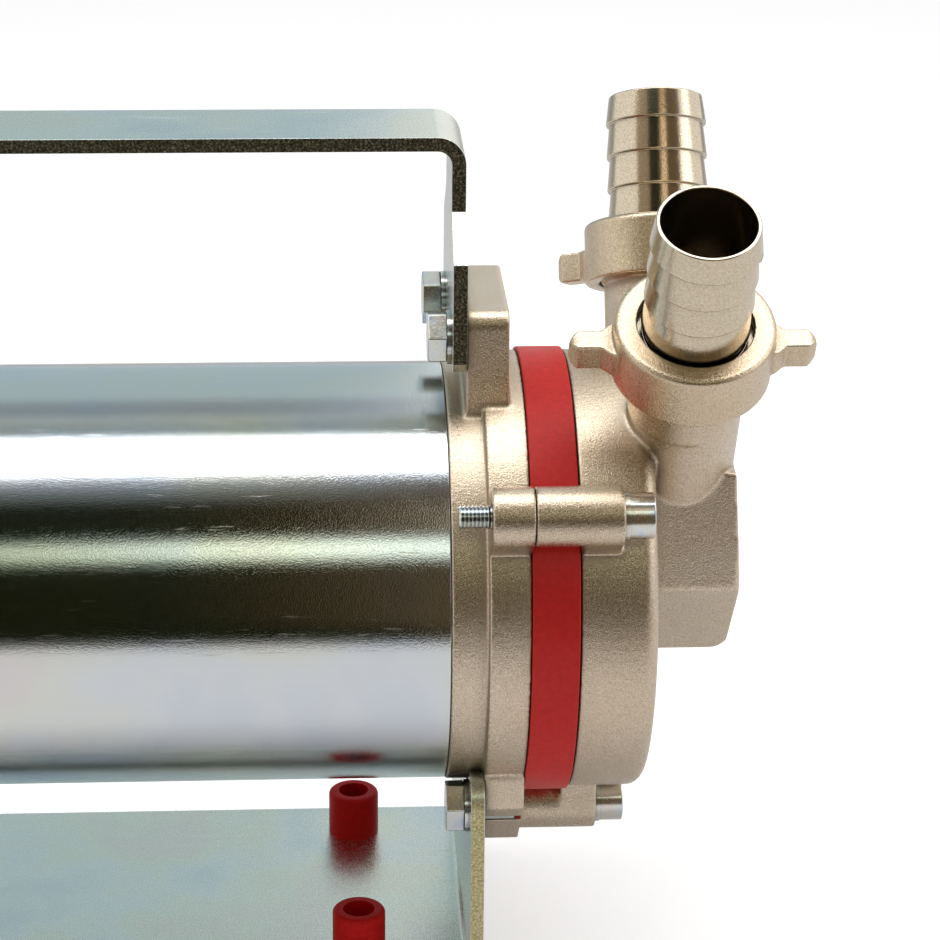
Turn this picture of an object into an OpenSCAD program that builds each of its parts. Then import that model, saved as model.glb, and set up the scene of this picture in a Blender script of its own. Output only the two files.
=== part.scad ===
// Direct-current transfer pump: a steel motor tube lying on its side, a cast side-channel pump
// head with two hose tails in a V, a bent carry handle above and a folded base on rubber feet.
// X runs along the shaft towards the pump head, Y points away from the first hose tail, Z is up.
// The origin lies on the floor at the centre of the four foot holes.

/* [Motor tube] */
// Outside diameter of the steel motor tube
tube_d = 91.5; // [88:0.5:96]
// Wall of the motor tube
tube_wall = 3.5; // [3:0.25:4.5]
// Length of the motor tube between its two castings
tube_len = 140; // [134:1:170]
// Height of the shaft axis above the floor
shaft_h = 90; // [88:1:110]

/* [Armature] */
// Gap between the windings and the spigot of the pump body
armature_room = 18.5; // [5:0.5:30]
// Number of slots in the armature core
core_slots = 14; // [10:1:18]
// Width of a slot in the core
slot_w = 5; // [3:0.5:6]
// Thickness of the core between the shaft and its slots
core_web = 14.5; // [12:0.5:18]
// Reach of the windings past each end of the core
winding_len = 10; // [6:1:12]
// Diameter inside the end turns of the windings
winding_bore = 34; // [32:1:40]
// Diameter of the commutator
comm_d = 28; // [24:1:30]
// Length of the commutator
comm_len = 18; // [14:1:20]
// Width of a gap between commutator bars
comm_gap_w = 0.6; // [0.4:0.1:1]
// Depth of a gap between commutator bars
comm_gap_deep = 1.2; // [0.8:0.1:2]
// Gap between the armature core and the magnets
air_gap = 0.8; // [0.5:0.1:1.5]
// Thickness of a magnet
magnet_t = 7.35; // [6.5:0.05:9]
// Reach of the magnets past each end of the core
magnet_over = 3; // [0:0.5:5]
// Half of the angle that one magnet covers
magnet_half = 62; // [50:1:66]

/* [Shaft and bearings] */
// Diameter of the shaft at the bearings and the impeller
shaft_d = 12; // [10:0.5:13]
// Diameter of the shaft between the bearings
shaft_mid_d = 15; // [14:0.5:18]
// Outside diameter of a ball bearing
bearing_d = 32; // [30:1:34]
// Width of a ball bearing
bearing_w = 10; // [9:0.5:11]
// Diameter of a ball
ball_d = 5.95; // [5:0.05:6.2]
// Number of balls in a bearing
ball_count = 7; // [6:1:8]
// Thickness of the cage between the balls
cage_t = 0.8; // [0.6:0.1:1]

/* [Brush gear] */
// Thickness of the brush plate
brush_plate_t = 3; // [2:0.5:4]
// Width of a brush along the shaft
brush_w = 9; // [7:0.5:10]
// Height of a brush across the shaft
brush_h = 8; // [6:0.5:9]
// Gap between a brush holder and the rear cap around it
holder_gap = 2.15; // [1:0.05:4]
// Wall of a brush holder
holder_wall = 1.5; // [1:0.25:2]
// Length of a brush spring
brush_spring_len = 4.5; // [4:0.25:5]
// Diameter of a brush spring
brush_spring_d = 6; // [4:0.5:6.5]
// Wire thickness of a brush spring
brush_spring_wire = 0.9; // [0.6:0.1:1.2]
// Diameter of a screw in the brush plate
plate_screw_d = 4; // [3:0.5:4]
// Head diameter of a screw in the brush plate
plate_screw_head_d = 7; // [6:0.5:8]
// Head height of a screw in the brush plate
plate_screw_head_h = 2.5; // [2:0.25:3]

/* [Castings] */
// How far the flanges that close the motor tube stand over it
flange_step = 0.25; // [0.2:0.05:2]
// Thickness of those flanges
flange_t = 7.8; // [7:0.2:9]
// Length of the spigots inside the motor tube
spigot_len = 9; // [7:0.5:12]
// Wall of those spigots
spigot_wall = 9; // [8:0.25:10]
// Wall around a ball bearing
housing_wall = 5; // [4:0.5:6]
// Rise of the top lugs above the flanges
top_lug_rise = 19; // [15:0.1:22]
// Width of the top lugs
top_lug_w = 36; // [32:1:42]
// Thickness of the top lugs
top_lug_t = 9; // [7:0.5:10]
// Distance of the top lugs from the motor tube
top_lug_set = 4; // [3.5:0.25:5]
// Corner radius of the top lugs
lug_round = 3.4; // [1:0.2:5]
// Reach of the bottom lugs past the base bolts to each side
low_lug_side = 7; // [6:0.5:9]
// Width of the slopes beside the bottom face of the bottom lugs
low_lug_slope_w = 16; // [12:0.5:18]
// How far the bottom lugs stay behind the joint of the pump
low_lug_step = 0.1; // [0.1:0.1:2]
// Reach of the bottom lugs below the base bolts
low_lug_reach = 13.1; // [11:0.1:18]
// How far the side corners of the bottom lugs lie above the base bolts
low_lug_side_rise = 2.5; // [1:0.5:4]

/* [Pump body] */
// How far the pump body stands over the flange
body_step = 2; // [1:0.25:4]
// Thickness of the pump body outside the flange
body_t = 8.7; // [8:0.1:10]
// How far the raised face stands in from the edge of the body
face_step = 6.8; // [6.5:0.1:8]
// Height of the raised face
face_h = 5.4; // [5:0.2:6]
// Outside diameter of the shaft seal
seal_d = 26; // [24:0.5:27]
// Thickness of the shaft seal
seal_t = 7; // [6:0.5:7]
// Thickness of the rubber ring between body and cover
ring_d = 2.2; // [1.8:0.1:2.2]

/* [Impeller] */
// Gap around the impeller
impeller_gap = 0.5; // [0.3:0.1:1]
// Width of the impeller
impeller_w = 12.4; // [10:0.2:13]
// Diameter of the impeller hub
hub_d = 28; // [27:0.5:32]
// Number of impeller blades
blades = 12; // [8:1:14]
// Thickness of a blade
blade_t = 3; // [2:0.25:4]
// Thickness of the disc between the blades
web_t = 3; // [2:0.25:4]
// Width of the key in the shaft
key_w = 4; // [3:0.5:5]
// Height of the key
key_h = 4; // [3:0.5:4.5]
// How far the pump chamber stands in from the raised face
chamber_step = 2.7; // [2:0.1:4]
// Gap beside the impeller
side_gap = 0.3; // [0.15:0.05:0.5]
// Distance from the edge of the impeller to the middle of the side channels
channel_set = 8; // [7.5:0.25:9]
// Width of a side channel
channel_w = 13; // [10:0.5:14]
// Depth of a side channel
channel_deep = 4; // [3:0.25:5]
// Angle of the stop between the two ports of a channel
channel_stop = 30; // [20:2:40]

/* [Pump cover] */
// Thickness of the pump cover
cover_t = 26.4; // [26:0.2:28]
// Rounding of the front edge of the cover
cover_round = 3.3; // [2:0.1:4]
// Width of the red band
band_w = 10; // [8:0.5:11]
// Thickness of the red band
band_t = 2.4; // [1.5:0.1:3]
// How far the red band stands proud of the cover
band_proud = 0.7; // [0.3:0.1:1]

/* [Body screws] */
// Distance from the red band to the screw bosses
boss_set = 0.9; // [0.5:0.1:3]
// Diameter of the screw bosses
boss_d = 12.4; // [12:0.2:15]
// Lift of the first boss above the level of the shaft
boss_lift = 34; // [26:1:38]
// Length of the bosses on the cover
boss_len = 18.2; // [16:0.2:20]
// Diameter of the body screws
screw_d = 5; // [4:0.5:5.5]
// Pitch of their thread
screw_pitch = 0.8; // [0.7:0.05:1]
// Head diameter of the body screws
screw_head_d = 9.5; // [8.5:0.25:10]
// Head height of the body screws
screw_head_h = 5.2; // [4.5:0.1:6]
// Width across flats of the socket in the heads
socket_af = 4; // [3:0.5:5]
// Diameter of the washers under the heads
screw_washer_d = 10; // [9.5:0.25:12]
// Thickness of those washers
screw_washer_t = 1; // [0.6:0.1:1.6]
// Length of thread that stands out behind the body
screw_tail = 6.7; // [4:0.1:7]

/* [Manifold and ports] */
// Depth of the manifold in front of the cover
manifold_t = 19.7; // [19:0.1:22]
// Width of the manifold
manifold_w = 50; // [48:0.5:54]
// Height of the top of the manifold above the shaft axis
manifold_top = 31; // [30:0.5:34]
// Height of the fold in its sides above the shaft axis
manifold_fold = 5; // [0:0.5:8]
// Drop of its bottom face below the shaft axis
manifold_drop = 17; // [14:0.5:20]
// How far its sides lean in from the fold to the top
manifold_draft = 1.6; // [0.5:0.1:2]
// Width of its bottom face
manifold_foot_w = 14; // [10:1:24]
// Rounding of its upright front edges
manifold_round = 2; // [1:0.25:3]
// Rounding of its bottom front edge
manifold_low_round = 4; // [2:0.5:5]
// Distance of the port axes in front of the cover
port_set = 6.7; // [6.5:0.1:7.5]
// Lean of each port to its own side
port_lean = 28; // [28:1:32]
// Height above the shaft axis where the port axes meet
port_lift = 4.5; // [3:0.5:6]
// Diameter of the neck of a port
neck_d = 23.6; // [23:0.1:24]
// Gap between a wing nut and the round of the cover below it
nut_clear = 0.736; // [0.5:0.002:4]
// Diameter of the pipe thread on the stub
stub_d = 26.44; // [25.5:0.02:26.5]
// Height of the thread on the stub
stub_thread_h = 5.4; // [5:0.1:5.6]
// Bore of the stub and the hose tail
port_bore = 19.2; // [17:0.2:19.4]
// Depth of the wide bore in the port
port_bore_deep = 26; // [20:0.5:26]
// Diameter of the passage below the wide bore
passage_d = 15; // [12:0.5:15]
// Distance along the port axis to the turn into the pump chamber
passage_turn = 26; // [25.5:0.5:28]
// Diameter of the hole from the passage into the chamber
passage_hole_d = 12; // [10:0.5:13]
// How far the cast pad stands out of the neck
pad_rise = 0.6; // [0.4:0.1:1]
// Length of the cast pad below the nut
pad_len = 11; // [8:0.5:12]
// Reach of the cast pad past the port axis
pad_reach = 1.5; // [0:0.5:3]

/* [Wing nuts] */
// Diameter of a wing nut
nut_d = 33.1; // [32:0.1:35]
// Overlap of the nut and the thread of the stub
nut_engage = 5.7; // [5.6:0.1:6.5]
// Thickness of the lip that holds the hose tail
nut_lip = 2.5; // [2:0.1:3.5]
// Diameter of the mouth of the nut
nut_mouth_d = 24; // [23.2:0.2:25]
// Rounding of the top edge of the nut
nut_round = 1.2; // [0.5:0.1:2]
// Span of the wings from tip to tip
wing_span = 50.8; // [44:0.4:56]
// How far the wings sit below the middle of the nut
wing_drop = 1.2; // [0:0.1:3]
// Height of a wing along the port axis
wing_h = 6.5; // [5:0.5:8]
// Thickness of a wing at its tip
wing_t = 4.8; // [4:0.2:6]
// Thickness of a wing at its root
wing_root_t = 9; // [7:0.5:12]
// Rounding of the wing tips
wing_round = 1.8; // [1:0.1:2]
// Turn of the wings of the far nut away from the shaft
far_nut_turn = 34; // [0:1:90]

/* [Hose tails] */
// Diameter of the collar that the nut pulls down
collar_d = 26; // [25.2:0.1:26.3]
// Thickness of the collar
collar_t = 2.9; // [2:0.1:4]
// Diameter over the barbs
barb_d = 22.5; // [22:0.1:22.8]
// Diameter between the barbs
barb_root_d = 21; // [20.8:0.1:21.4]
// Diameter of the open end
tip_d = 20.84; // [20.6:0.02:21]
// Distance from one barb to the next
barb_pitch = 7.5; // [6.5:0.1:8.5]
// Number of barbs
barb_count = 4; // [3:1:5]
// Length past the last barb
tip_len = 6.4; // [5:0.2:8]
// Thickness of the flat gasket under the collar
gasket_t = 2; // [1.5:0.1:3]

/* [Carry handle] */
// Thickness of the handle strip
strip_t = 3; // [2.5:0.25:3.5]
// Width of the handle strip
strip_w = 23; // [20:1:26]
// Height of the handle above the top lugs
handle_rise = 36; // [32:0.1:48]
// Inner radius of the bends of the handle
handle_bend = 3; // [2:0.5:8]
// Height where the feet reach their full width, above the top lugs
handle_shoulder_rise = 11.5; // [9:0.1:16]
// Height of the slopes between the feet and the strip
handle_slope_h = 8.7; // [6:0.1:12]
// Reach of the feet past the top lugs to each side
handle_side = 3; // [1:0.25:4]
// Radius of the lower corners of the feet
handle_round = 2.5; // [1:0.5:4]
// Overlap of the feet and the top lugs
handle_lap = 12.5; // [11.5:0.1:15]
// Distance of the bolts of a foot from its sides
handle_bolt_side = 7.9; // [6.5:0.1:10]
// Distance of these bolts from the top of the lugs
handle_bolt_in = 6.6; // [6:0.1:7.5]

/* [Base] */
// Thickness of the base sheet
base_t = 3; // [2.5:0.25:3.5]
// Reach of the base past its bolts to each side
base_side = 11; // [9:0.5:15]
// Height of the top of the sheet above the floor
base_top = 10.5; // [9:0.5:14]
// Inner radius of the folds
base_bend = 1.2; // [0.8:0.2:3]
// How far the upright ends reach above their bolts
upright_rise = 10; // [8:0.5:12]
// Corner radius of the upright ends
upright_round = 6; // [3:0.5:7]
// Distance of the bolts of an upright end from the flange
base_bolt_clear = 6.15; // [6:0.05:8]
// Angle between these bolts and straight down
base_bolt_angle = 32.47; // [29:0.01:36]

/* [Feet] */
// Distance between the foot holes along the shaft
foot_gap_x = 102; // [90:1:120]
// Distance between the foot holes across the shaft
foot_gap_y = 56; // [44:1:58]
// Diameter of the stem of a foot
foot_d = 11.6; // [11:0.2:13]
// Diameter of a foot in the hole of the base
foot_neck_d = 9.6; // [9:0.2:10.5]
// Diameter of the pad of a foot
foot_pad_d = 20; // [16:1:24]
// Rise of the stem above the base sheet
foot_rise = 10.5; // [8:0.5:14]
// Bore of a foot for a bench bolt
foot_bore = 7; // [5:0.5:7.5]
// Rounding of the edges of a foot
foot_round = 1; // [0.5:0.1:1.5]

/* [Hexagon bolts] */
// Diameter of the bolts of handle and base
bolt_d = 6; // [5:0.5:6]
// Width across flats of their heads
bolt_af = 10; // [9:0.5:10.5]
// Height of their heads
bolt_head_h = 4; // [3.5:0.1:4.4]
// Reach of their shanks into the castings
bolt_grip = 7; // [5:0.5:7.5]
// Turn of their heads away from level
bolt_turn = 15; // [0:5:30]
// Diameter of their washers
washer_d = 11.4; // [11:0.2:12]
// Thickness of their washers
washer_t = 1; // [0.8:0.1:1.2]

/* [Through bolts] */
// Diameter of the two long bolts inside the motor tube
through_d = 5; // [4:0.5:5.5]
// Head diameter of the long bolts
through_head_d = 8.5; // [8:0.25:9.5]
// Head height of the long bolts
through_head_h = 4.8; // [4:0.1:5]
// Depth of their thread in the pump body
through_grip = 7; // [5:0.5:8]

/* [Rear cap] */
// How far the plate behind the rear flange stands in from it
cap_plate_step = 3; // [2:0.25:4]
// Thickness of that plate
cap_plate_t = 4; // [3:0.5:6]
// Rounding of the edges of the plate and the bearing dome
cap_round = 2; // [1:0.25:3]
// Thickness of the wall behind the rear bearing
dome_wall = 6; // [5:0.5:8]

/* [Cable gland] */
// Distance of the middle of the cable gland from the edge of the flange
gland_set = 13.5; // [13:0.25:14]
// Angle of the cable gland above the level of the shaft
gland_angle = 45; // [35:1:55]
// Width across flats of the gland and its nut
gland_af = 20; // [19:0.5:21]
// Thickness of the hexagon of the gland
gland_hex_t = 5; // [4:0.5:6]
// Thread diameter of the gland
gland_d = 16; // [15:0.25:16.5]
// Length of the thread in the rear cap
gland_grip = 8; // [6:0.5:10]
// Length of the thread that carries the nut
gland_neck = 8; // [7:0.5:10]
// Gap between the hexagon of the gland and its nut
gland_nut_gap = 1; // [0.5:0.1:1.5]
// Length of the hexagon of the nut
gland_nut_hex_t = 8; // [6:0.5:8.5]
// Length of the dome of the nut
gland_dome = 5; // [4:0.5:7]
// How far the dome stands in from the flats of the nut
gland_dome_step = 0.5; // [0.2:0.1:1]
// Diameter of the hole for the cable
cable_d = 9; // [7:0.25:9.5]
// Bore of the gland body behind the seal
gland_bore = 11; // [10.5:0.25:12]
// Length of the rubber seal
gland_seal_t = 9; // [7:0.5:9]

/* [Fits] */
// Gap between pieces that are fitted together
slide_fit = 0.1; // [0.05:0.05:0.2]
// Radial gap of a piece that runs on another
run_fit = 0.05; // [0.02:0.01:0.1]
// Gap between pieces that only lie close
loose_fit = 0.3; // [0.2:0.05:0.5]

/* [Hidden] */
$fn = 96;

// How far every cut runs past the face it opens
overrun = 1;

// Places along X
front_x = tube_len / 2;
body_x = front_x + flange_t;
joint_x = body_x + body_t;
face_x = joint_x + face_h;
impeller_x = face_x + side_gap;
chamber_x = impeller_x + impeller_w + side_gap;
cover_x = joint_x + cover_t;
port_x = cover_x + port_set;

// Motor
tube_r = tube_d / 2;
tube_ri = tube_r - tube_wall;
flange_r = tube_r + flange_step;
flange_d = 2 * flange_r;
magnet_ri = tube_ri - slide_fit - magnet_t;
core_r = magnet_ri - air_gap;
slot_deep = core_r - shaft_mid_d / 2 - core_web;
pitch_r = (shaft_d + bearing_d) / 4;
race_share = 0.55;
front_bearing_x = front_x - bearing_w;
rear_bearing_x = -front_x - housing_wall;
housing_r = bearing_d / 2 + housing_wall;
spigot_ri = tube_ri - spigot_wall;
pocket_deep = body_t - channel_deep;

// Brush gear, with the brushes on the two sides of the commutator
brush_start = comm_d / 2 + slide_fit;
brush_len = spigot_ri - holder_gap - holder_wall - brush_spring_len - brush_start;
brush_x = -front_x + brush_plate_t + holder_wall;
comm_start = brush_x;
core_x = comm_start + comm_len + winding_len;
core_len = front_x - spigot_len - armature_room - winding_len - core_x;
holder_len = brush_w + 2 * (holder_wall + slide_fit);
holder_start = brush_start + holder_wall;
brush_end = brush_start + brush_len;
spring_end = brush_end + brush_spring_len;
plate_screw_r = (housing_r + spigot_ri) / 2;
post_d = spigot_ri - housing_r;

// Through bolts, above and below the armature
through_r = (tube_ri + core_r) / 2 + slide_fit;
through_seat_x = -body_x + through_head_h;

// Castings and bosses
cap_plate_d = 2 * (flange_r - cap_plate_step);
body_d = 2 * (flange_r + body_step);
face_d = body_d - 2 * face_step;
chamber_d = face_d - 2 * chamber_step;
impeller_d = chamber_d - 2 * impeller_gap;
top_lug_h = flange_r + top_lug_rise;
boss_angles = [180 - boss_lift, 300 - boss_lift, 60 - boss_lift];
band_r = body_d / 2 + band_proud;
boss_r = band_r + boss_set + boss_d / 2;
band_ri = band_r - band_t;
channel_r = impeller_d / 2 - channel_set;
screw_start = body_x - screw_tail;
washer_x = joint_x + boss_len;

// Ports, counted from the meeting point along the port axis
stub_r = stub_d / 2;
nut_bottom = (body_d / 2 + nut_clear - port_lift + nut_d / 2 * sin(port_lean)) / cos(port_lean);
stub_reach = nut_bottom + nut_engage;
collar_l = stub_reach + gasket_t;
lip_l = collar_l + collar_t + slide_fit;
nut_top = lip_l + nut_lip;
wing_mid = (nut_bottom + nut_top) / 2 - wing_drop;
tail_top = nut_top + (barb_count - 1) * barb_pitch + tip_len;

// Handle and base
handle_foot_w = top_lug_w + 2 * handle_side;
handle_bolt_gap = handle_foot_w - 2 * handle_bolt_side;
handle_bolt_h = top_lug_h - handle_bolt_in;
handle_low = top_lug_h - handle_lap;
handle_shoulder = top_lug_h + handle_shoulder_rise;
handle_top = top_lug_h + handle_rise;
base_bolt_r = flange_r + base_bolt_clear;
base_bolt_gap = 2 * base_bolt_r * sin(base_bolt_angle);
base_bolt_drop = base_bolt_r * cos(base_bolt_angle);
upright_drop = base_bolt_drop - upright_rise;
base_w = base_bolt_gap + 2 * base_side;
low_lug_t = body_t - low_lug_step;
low_lug_w = base_bolt_gap + 2 * low_lug_side;
low_lug_foot_w = low_lug_w - 2 * low_lug_slope_w;
low_lug_drop = base_bolt_drop + low_lug_reach;
low_lug_side_drop = base_bolt_drop - low_lug_side_rise;
leg_x = front_x + top_lug_set;
upright_x = body_x;

// Gland
gland_r = flange_r - gland_set;
gland_y = gland_r * cos(gland_angle);
gland_z = gland_r * sin(gland_angle);
gland_x = body_x + cap_plate_t;
gland_nut_x = gland_x + gland_hex_t + gland_nut_gap;
gland_seal_x = gland_x + gland_hex_t + gland_neck;

// Colours of the finishes
zinc = [0.72, 0.72, 0.66];
nickel = [0.74, 0.70, 0.64];
red = [0.75, 0.06, 0.04];
rubber_black = [0.08, 0.08, 0.08];
steel = [0.62, 0.63, 0.65];
copper = [0.72, 0.40, 0.22];
carbon = [0.16, 0.16, 0.17];
brass = [0.78, 0.62, 0.32];
alloy = [0.70, 0.71, 0.72];
resin = [0.45, 0.26, 0.14];

// Puts the XY plane of its children across the shaft at x, with their Z along the shaft
module on_axis(x) {
    translate([x, 0, shaft_h]) rotate([90, 0, 90]) children();
}

// Puts its children in the frame of a port, side 1 for the near port and -1 for the far one
module on_port(side, reach) {
    translate([port_x, 0, shaft_h + port_lift])
        rotate([side * port_lean, 0, 0])
            translate([0, 0, reach]) children();
}

// Repeats its children mirrored to the other end of the motor
module both_ends() {
    children();
    mirror([1, 0, 0]) children();
}

module ring(d_out, d_in, t) {
    difference() {
        cylinder(d = d_out, h = t);
        translate([0, 0, -overrun]) cylinder(d = d_in, h = t + 2 * overrun);
    }
}

// Round disc whose front edge is rounded
module drum(r, t, edge) {
    rotate_extrude() {
        square([r, t - edge]);
        square([r - edge, t]);
        translate([r - edge, t - edge]) circle(edge);
    }
}

module hexagon(af, t) {
    cylinder(d = af / cos(30), h = t, $fn = 6);
}

// Upright outline with two rounded top corners
module arch(half, low, high, r) {
    translate([-half, low]) square([2 * half, high - r - low]);
    translate([-half + r, low]) square([2 * (half - r), high - low]);
    for (side = [-1, 1]) translate([side * (half - r), high - r]) circle(r);
}

// Part of a ring that is cut off by a wedge around the upward direction
module open_ring(r_mid, w, gap_angle) {
    far = r_mid + w;
    difference() {
        circle(r_mid + w / 2);
        circle(r_mid - w / 2);
        polygon([[0, 0], [far * sin(gap_angle / 2), far * cos(gap_angle / 2)], [0, far],
                 [-far * sin(gap_angle / 2), far * cos(gap_angle / 2)]]);
    }
}

module motor_tube() color(zinc)
    on_axis(-front_x) ring(tube_d, tube_d - 2 * tube_wall, tube_len);

// Two ferrite arcs on the near and far side of the armature
module field_magnets() color(carbon)
    on_axis(core_x - magnet_over)
        for (side = [0, 180]) rotate(side)
            linear_extrude(core_len + 2 * magnet_over) intersection() {
                difference() {
                    circle(tube_ri - slide_fit);
                    circle(magnet_ri);
                }
                polygon([[0, 0], [tube_d, -tube_d * tan(magnet_half)],
                         [tube_d, tube_d * tan(magnet_half)]]);
            }

module through_bolts() color(steel)
    for (side = [-1, 1]) on_axis(through_seat_x) translate([0, side * through_r, 0]) {
        cylinder(d = through_d, h = front_x - spigot_len + through_grip - through_seat_x);
        mirror([0, 0, 1]) difference() {
            cylinder(d = through_head_d, h = through_head_h);
            translate([0, 0, through_head_h / 2]) hexagon(socket_af, through_head_h);
        }
    }

// Parts of both castings, drawn at the pump end
module flange_and_lugs() {
    on_axis(front_x) cylinder(d = flange_d, h = flange_t);
    on_axis(front_x - spigot_len) cylinder(r = tube_ri - slide_fit, h = spigot_len + overrun);
    on_axis(leg_x) linear_extrude(top_lug_t)
        arch(top_lug_w / 2, spigot_ri, top_lug_h, lug_round);
    on_axis(body_x) linear_extrude(low_lug_t) polygon([
        [-low_lug_w / 2, -upright_drop], [-low_lug_w / 2, -low_lug_side_drop],
        [-low_lug_foot_w / 2, -low_lug_drop], [low_lug_foot_w / 2, -low_lug_drop],
        [low_lug_w / 2, -low_lug_side_drop], [low_lug_w / 2, -upright_drop],
        [low_lug_foot_w / 2, -housing_r], [-low_lug_foot_w / 2, -housing_r]]);
}

// Threaded holes for the bolts of the handle and the base
module lug_holes() {
    for (side = [-1, 1]) {
        on_axis(leg_x - overrun) translate([side * handle_bolt_gap / 2, handle_bolt_h, 0])
            cylinder(d = bolt_d + 2 * slide_fit, h = top_lug_t + 2 * overrun);
        on_axis(upright_x - overrun) translate([side * base_bolt_gap / 2, -base_bolt_drop, 0])
            cylinder(d = bolt_d + 2 * slide_fit, h = low_lug_t + 2 * overrun);
    }
}

module rear_end_cap() color(alloy) mirror([1, 0, 0]) difference() {
    union() {
        flange_and_lugs();
        on_axis(body_x) drum(cap_plate_d / 2, cap_plate_t, cap_round);
        on_axis(body_x) drum(housing_r, -rear_bearing_x - body_x + bearing_w + dome_wall, cap_round);
    }
    // Recess around the bearing housing, with two posts for the brush plate
    difference() {
        on_axis(front_x - spigot_len - overrun)
            ring(2 * spigot_ri, 2 * housing_r, spigot_len + flange_t + overrun);
        for (side = [-1, 1]) on_axis(front_x) translate([0, side * plate_screw_r, 0])
            cylinder(d = post_d + overrun, h = flange_t + overrun);
    }
    on_axis(front_x - spigot_len - overrun) cylinder(r = housing_r + slide_fit, h = spigot_len + overrun);
    on_axis(front_x - overrun)
        cylinder(d = bearing_d + 2 * slide_fit, h = -rear_bearing_x - front_x + bearing_w + overrun);
    for (side = [-1, 1]) {
        on_axis(front_x - overrun) translate([0, side * plate_screw_r, 0])
            cylinder(d = plate_screw_d + 2 * slide_fit, h = flange_t + overrun);
        on_axis(front_x - spigot_len - overrun) translate([0, side * through_r, 0])
            cylinder(d = through_d + 2 * slide_fit, h = spigot_len + flange_t);
        on_axis(-through_seat_x) translate([0, side * through_r, 0])
            cylinder(d = through_head_d + 2 * loose_fit, h = through_head_h + low_lug_t + overrun);
    }
    on_axis(front_x - spigot_len - overrun) translate([gland_y, gland_z, 0])
        cylinder(d = gland_d + 2 * slide_fit, h = spigot_len + flange_t + cap_plate_t + 2 * overrun);
    lug_holes();
}

// Ring of a ball bearing between two diameters, with the groove for the balls
module bearing_ring(x, d_out, d_in) {
    on_axis(x) rotate_extrude() difference() {
        translate([d_in / 2, 0]) square([(d_out - d_in) / 2, bearing_w]);
        translate([pitch_r, bearing_w / 2]) circle(d = ball_d + 2 * run_fit);
    }
}

module outer_ring(x) bearing_ring(x, bearing_d, 2 * pitch_r + race_share * ball_d);

module inner_ring(x) bearing_ring(x, 2 * pitch_r - race_share * ball_d, shaft_d + 2 * run_fit);

// Balls held by their cage
module ball_set(x) on_axis(x + bearing_w / 2) {
    for (k = [0 : ball_count - 1]) rotate(k * 360 / ball_count)
        translate([pitch_r, 0, 0]) sphere(d = ball_d);
    translate([0, 0, -ball_d / 4])
        ring(2 * pitch_r + cage_t, 2 * pitch_r - cage_t, ball_d / 2);
}

module rear_bearing_outer_ring() color(steel) outer_ring(rear_bearing_x - bearing_w);
module rear_bearing_balls() color(steel) ball_set(rear_bearing_x - bearing_w);
module rear_bearing_inner_ring() color(steel) inner_ring(rear_bearing_x - bearing_w);
module front_bearing_outer_ring() color(steel) outer_ring(front_bearing_x);
module front_bearing_balls() color(steel) ball_set(front_bearing_x);
module front_bearing_inner_ring() color(steel) inner_ring(front_bearing_x);

module key_place(grow) {
    on_axis(impeller_x - grow)
        translate([-key_w / 2 - grow, shaft_d / 2 - key_h / 2 - grow, 0])
            cube([key_w + 2 * grow, key_h + 2 * grow, impeller_w + 2 * grow]);
}

module shaft() color(steel) difference() {
    union() {
        on_axis(rear_bearing_x) cylinder(d = shaft_mid_d, h = front_bearing_x - rear_bearing_x);
        on_axis(rear_bearing_x - bearing_w)
            cylinder(d = shaft_d, h = chamber_x - rear_bearing_x + bearing_w - side_gap);
    }
    key_place(0);
    on_axis(impeller_x + impeller_w) translate([-key_w / 2, shaft_d / 2 - key_h / 2, -overrun])
        cube([key_w, key_h, 2 * overrun]);
}

module core_slots_at(grow) {
    for (k = [0 : core_slots - 1]) rotate(k * 360 / core_slots)
        translate([core_r - slot_deep - grow, -slot_w / 2 - grow])
            square([slot_deep + overrun + grow, slot_w + 2 * grow]);
}

module armature_core() color(steel)
    on_axis(core_x) linear_extrude(core_len) difference() {
        circle(core_r);
        circle(d = shaft_mid_d + 2 * run_fit);
        core_slots_at(0);
    }

// End turns at both ends of the core and the wire that fills its slots
module armature_windings() color(copper) {
    turns_r = core_r - slide_fit - overrun;
    for (x = [core_x - winding_len, core_x + core_len]) on_axis(x) rotate_extrude() {
        translate([winding_bore / 2, 0]) square([turns_r - winding_bore / 2 - cap_round, winding_len]);
        translate([winding_bore / 2, cap_round])
            square([turns_r - winding_bore / 2, winding_len - 2 * cap_round]);
        for (z = [cap_round, winding_len - cap_round])
            translate([turns_r - cap_round, z]) circle(cap_round);
    }
    on_axis(core_x) linear_extrude(core_len) intersection() {
        core_slots_at(-slide_fit);
        circle(turns_r);
    }
}

module commutator() color(copper)
    on_axis(comm_start) linear_extrude(comm_len) difference() {
        circle(d = comm_d);
        circle(d = shaft_mid_d + 2 * run_fit);
        for (k = [0 : 2 * core_slots - 1]) rotate(k * 180 / core_slots)
            translate([comm_d / 2 - comm_gap_deep, -comm_gap_w / 2])
                square([comm_gap_deep + overrun, comm_gap_w]);
    }

// Insulating plate on the rear cap that carries the brush holders
module brush_plate() color(resin)
    on_axis(-front_x) linear_extrude(brush_plate_t) difference() {
        circle(spigot_ri - loose_fit);
        circle(comm_d / 2 + loose_fit);
        mirror([1, 0]) rotate(gland_angle) translate([gland_r, 0])
            circle(d = gland_d + 2 * loose_fit);
        for (side = [-1, 1]) translate([0, side * plate_screw_r])
            circle(d = plate_screw_d + 2 * slide_fit);
    }

module brush_plate_screws() color(steel)
    for (side = [-1, 1]) on_axis(-front_x + brush_plate_t)
        translate([0, side * plate_screw_r, 0]) {
            mirror([0, 0, 1]) cylinder(d = plate_screw_d, h = brush_plate_t + flange_t - overrun);
            drum(plate_screw_head_d / 2, plate_screw_head_h, plate_screw_head_h / 2);
        }

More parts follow.
